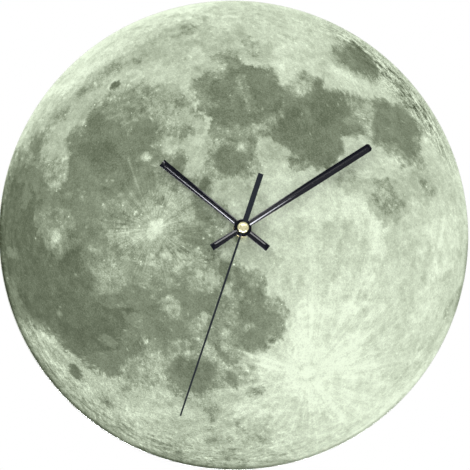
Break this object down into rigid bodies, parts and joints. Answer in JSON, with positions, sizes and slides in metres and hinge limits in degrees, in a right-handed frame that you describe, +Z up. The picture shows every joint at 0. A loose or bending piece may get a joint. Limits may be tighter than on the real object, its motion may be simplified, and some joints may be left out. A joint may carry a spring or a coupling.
{
  "type": "moon wall clock",
  "caption": "Round acrylic wall clock with a moon printed dial, three hands and a battery movement behind it.",
  "frame": {"origin": "where the hands' axis meets the wall, in the plane of the back cover's rear face", "axes": "+X to the right and +Z up for someone who reads the dial, +Y out of the back, towards the wall; the dial faces -Y"},
  "size_m": [0.3, 0.0332, 0.3],
  "materials": {
    "movement_plastic": "satin",
    "white_plastic": "satin",
    "ferrite": "matte",
    "soft_iron": "satin",
    "copper_wire": "gloss",
    "board": "satin",
    "epoxy": "gloss",
    "plated_steel": "satin",
    "contact_strip": "satin",
    "cell_metal": "satin",
    "cell_sleeve": "gloss",
    "brass": "satin",
    "rubber": "matte",
    "white_acrylic": "gloss",
    "moon_print": "satin",
    "hand_lacquer": "gloss",
    "second_hand_lacquer": "satin"
  },
  "bodies": {
    "clock_body": {"front_case": "movement_plastic", "back_cover": "movement_plastic", "train_bridge": "white_plastic", "stator": "soft_iron", "coil_core": "soft_iron", "coil_bobbin": "white_plastic", "coil_winding": "copper_wire", "circuit_board": "board", "chip": "epoxy", "quartz_crystal": "plated_steel", "contact_positive": "contact_strip", "contact_negative": "contact_strip", "threaded_tube": "brass", "hanger": "plated_steel", "rubber_washer": "rubber", "dial_disc": "white_acrylic", "dial_film": "moon_print", "flat_washer": "brass", "hex_nut": "brass"},
    "second_hand_arbor": {"second_wheel": "white_plastic", "second_hand": "second_hand_lacquer", "second_hand_cap": "brass"},
    "minute_hand_pipe": {"minute_wheel": "white_plastic", "minute_hand": "hand_lacquer", "minute_hand_bush": "hand_lacquer"},
    "hour_hand_pipe": {"hour_wheel": "white_plastic", "hour_hand": "hand_lacquer", "hour_hand_bush": "hand_lacquer"},
    "third_wheel": {"third_wheel": "white_plastic"},
    "fifth_wheel": {"fifth_wheel": "white_plastic"},
    "rotor": {"rotor_magnet": "ferrite", "rotor_pinion": "white_plastic"},
    "intermediate_wheel": {"intermediate_wheel": "white_plastic"},
    "setting_knob": {"setting_knob": "movement_plastic"},
    "cell": {"cell_can": "cell_metal", "cell_sleeve": "cell_sleeve"}
  },
  "joints": [
    {"name": "second_hand_turn", "type": "hinge", "parent": "clock_body", "child": "second_hand_arbor", "pos_m": [0, 0, 0], "axis": [0, 1, 0], "continuous": true},
    {"name": "minute_hand_turn", "type": "hinge", "parent": "clock_body", "child": "minute_hand_pipe", "pos_m": [0, 0, 0], "axis": [0, 1, 0], "continuous": true},
    {"name": "hour_hand_turn", "type": "hinge", "parent": "clock_body", "child": "hour_hand_pipe", "pos_m": [0, 0, 0], "axis": [0, 1, 0], "continuous": true},
    {"name": "third_wheel_turn", "type": "hinge", "parent": "clock_body", "child": "third_wheel", "pos_m": [-0.00846, 0, 0.00308], "axis": [0, 1, 0], "continuous": true},
    {"name": "fifth_wheel_turn", "type": "hinge", "parent": "clock_body", "child": "fifth_wheel", "pos_m": [0.00846, 0, 0.00308], "axis": [0, 1, 0], "continuous": true},
    {"name": "rotor_turn", "type": "hinge", "parent": "clock_body", "child": "rotor", "pos_m": [0.01196, 0, 0.00914], "axis": [0, 1, 0], "continuous": true},
    {"name": "intermediate_wheel_turn", "type": "hinge", "parent": "clock_body", "child": "intermediate_wheel", "pos_m": [0, 0, 0.0084], "axis": [0, 1, 0], "continuous": true},
    {"name": "setting_knob_turn", "type": "hinge", "parent": "clock_body", "child": "setting_knob", "pos_m": [0, 0, 0.0168], "axis": [0, 1, 0], "continuous": true},
    {"name": "cell_slide", "type": "slide", "parent": "clock_body", "child": "cell", "axis": [0, 1, 0], "range_m": [0, 0.025]}
  ],
  "couplings": [
    {"joint": "minute_hand_turn", "follows": "second_hand_turn", "ratio": 0.016667},
    {"joint": "hour_hand_turn", "follows": "second_hand_turn", "ratio": 0.0013889},
    {"joint": "third_wheel_turn", "follows": "second_hand_turn", "ratio": -0.125},
    {"joint": "fifth_wheel_turn", "follows": "second_hand_turn", "ratio": -5},
    {"joint": "rotor_turn", "follows": "second_hand_turn", "ratio": 30},
    {"joint": "intermediate_wheel_turn", "follows": "second_hand_turn", "ratio": -0.0055556},
    {"joint": "setting_knob_turn", "follows": "second_hand_turn", "ratio": 0.016667}
  ]
}
